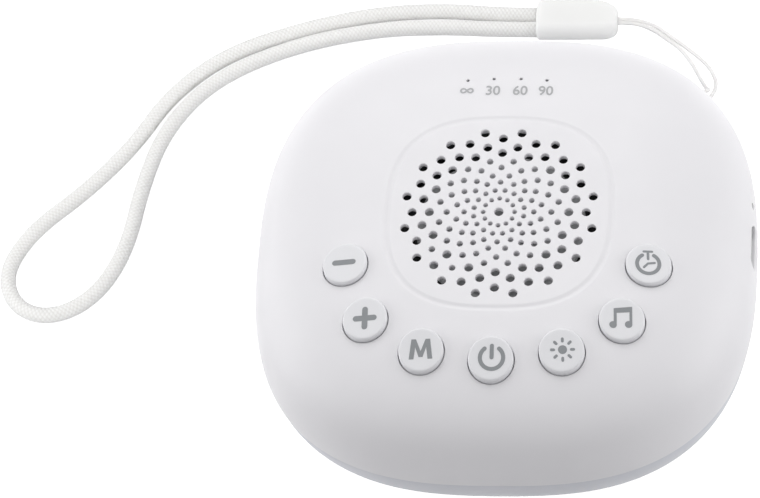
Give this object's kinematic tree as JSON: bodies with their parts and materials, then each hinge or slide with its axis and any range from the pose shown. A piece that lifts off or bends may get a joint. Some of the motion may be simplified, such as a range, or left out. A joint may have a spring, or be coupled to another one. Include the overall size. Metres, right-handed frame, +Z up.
{
  "type": "white noise sound machine",
  "caption": "Palm-sized rounded-square sound machine with a round speaker grille, an arc of push buttons, timer lights, a night-light ring, a USB-C socket and a wrist strap.",
  "frame": {"origin": "centre of the underside, on the surface that the feet stand on", "axes": "+Z up through the speaker grille; -Y towards the power button, the side a user faces; +X towards the charging socket"},
  "size_m": [0.1594, 0.123, 0.0338],
  "materials": {
    "shell_abs": "fine satin moulded ABS, white",
    "base_abs": "satin moulded ABS, white",
    "ring_diffuser": "milky translucent polycarbonate, satin",
    "button_abs": "satin moulded ABS, white, printed symbols",
    "switch_plunger_nylon": "black nylon",
    "switch_housing": "black nylon",
    "circuit_board": "green solder mask over glass-epoxy",
    "steel_screw": "zinc-plated steel",
    "chip_epoxy": "black epoxy package",
    "capacitor_can": "sleeved aluminium can",
    "lamp_epoxy": "clear epoxy lamp",
    "clear_acrylic": "clear moulded acrylic",
    "socket_steel": "folded stainless steel",
    "socket_tongue": "black moulded tongue",
    "basket_steel": "black-coated pressed steel",
    "surround_rubber": "soft black rubber",
    "cone_grey": "grey moulded cone",
    "coil_copper": "enamelled copper winding",
    "ferrite": "sintered ferrite",
    "foam_black": "black closed-cell foam",
    "retainer_abs": "black moulded ABS",
    "battery_film": "aluminium-laminate pouch",
    "rubber_feet": "grey silicone rubber",
    "strap_braid": "braided polyester, white",
    "strap_string": "thin braided polyester, white",
    "strap_sleeve": "moulded soft plastic, white"
  },
  "bodies": {
    "housing": {"amplifier_chip": "chip_epoxy", "battery_cell": "battery_film", "battery_pad": "foam_black", "board_screws": "steel_screw", "capacitors": "capacitor_can", "case_screws": "steel_screw", "charge_lamp": "lamp_epoxy", "light_board_screws": "steel_screw", "light_ring": "ring_diffuser", "lower_shell": "base_abs", "magnet_back_plate": "basket_steel", "magnet_top_plate": "basket_steel", "main_board": "circuit_board", "night_lamps": "lamp_epoxy", "night_light_board": "circuit_board", "retainer_screws": "steel_screw", "rubber_feet": "rubber_feet", "sound_chip": "chip_epoxy", "speaker_cone": "cone_grey", "speaker_frame": "basket_steel", "speaker_gasket": "foam_black", "speaker_magnet": "ferrite", "speaker_retainer": "retainer_abs", "speaker_surround": "surround_rubber", "strap_cord": "strap_braid", "strap_sleeve": "strap_sleeve", "strap_string": "strap_string", "tact_switches": "switch_housing", "timer_lamps": "lamp_epoxy", "timer_light_guide": "clear_acrylic", "upper_shell": "shell_abs", "usb_shell": "socket_steel", "usb_tongue": "socket_tongue", "voice_coil": "coil_copper"},
    "minus": {"minus_button": "button_abs", "minus_plunger": "switch_plunger_nylon"},
    "plus": {"plus_button": "button_abs", "plus_plunger": "switch_plunger_nylon"},
    "mode": {"mode_button": "button_abs", "mode_plunger": "switch_plunger_nylon"},
    "power": {"power_button": "button_abs", "power_plunger": "switch_plunger_nylon"},
    "light": {"light_button": "button_abs", "light_plunger": "switch_plunger_nylon"},
    "sound": {"sound_button": "button_abs", "sound_plunger": "switch_plunger_nylon"},
    "timer": {"timer_button": "button_abs", "timer_plunger": "switch_plunger_nylon"}
  },
  "joints": [
    {"name": "minus_press", "type": "slide", "parent": "housing", "child": "minus", "axis": [0, 0, -1], "range_m": [0, 0.00035], "stiffness_N_per_m": 600, "springref_m": -0.0003},
    {"name": "plus_press", "type": "slide", "parent": "housing", "child": "plus", "axis": [0, 0, -1], "range_m": [0, 0.00035], "stiffness_N_per_m": 600, "springref_m": -0.0003},
    {"name": "mode_press", "type": "slide", "parent": "housing", "child": "mode", "axis": [0, 0, -1], "range_m": [0, 0.00035], "stiffness_N_per_m": 600, "springref_m": -0.0003},
    {"name": "power_press", "type": "slide", "parent": "housing", "child": "power", "axis": [0, 0, -1], "range_m": [0, 0.00035], "stiffness_N_per_m": 600, "springref_m": -0.0003},
    {"name": "light_press", "type": "slide", "parent": "housing", "child": "light", "axis": [0, 0, -1], "range_m": [0, 0.00035], "stiffness_N_per_m": 600, "springref_m": -0.0003},
    {"name": "sound_press", "type": "slide", "parent": "housing", "child": "sound", "axis": [0, 0, -1], "range_m": [0, 0.00035], "stiffness_N_per_m": 600, "springref_m": -0.0003},
    {"name": "timer_press", "type": "slide", "parent": "housing", "child": "timer", "axis": [0, 0, -1], "range_m": [0, 0.00035], "stiffness_N_per_m": 600, "springref_m": -0.0003}
  ]
}
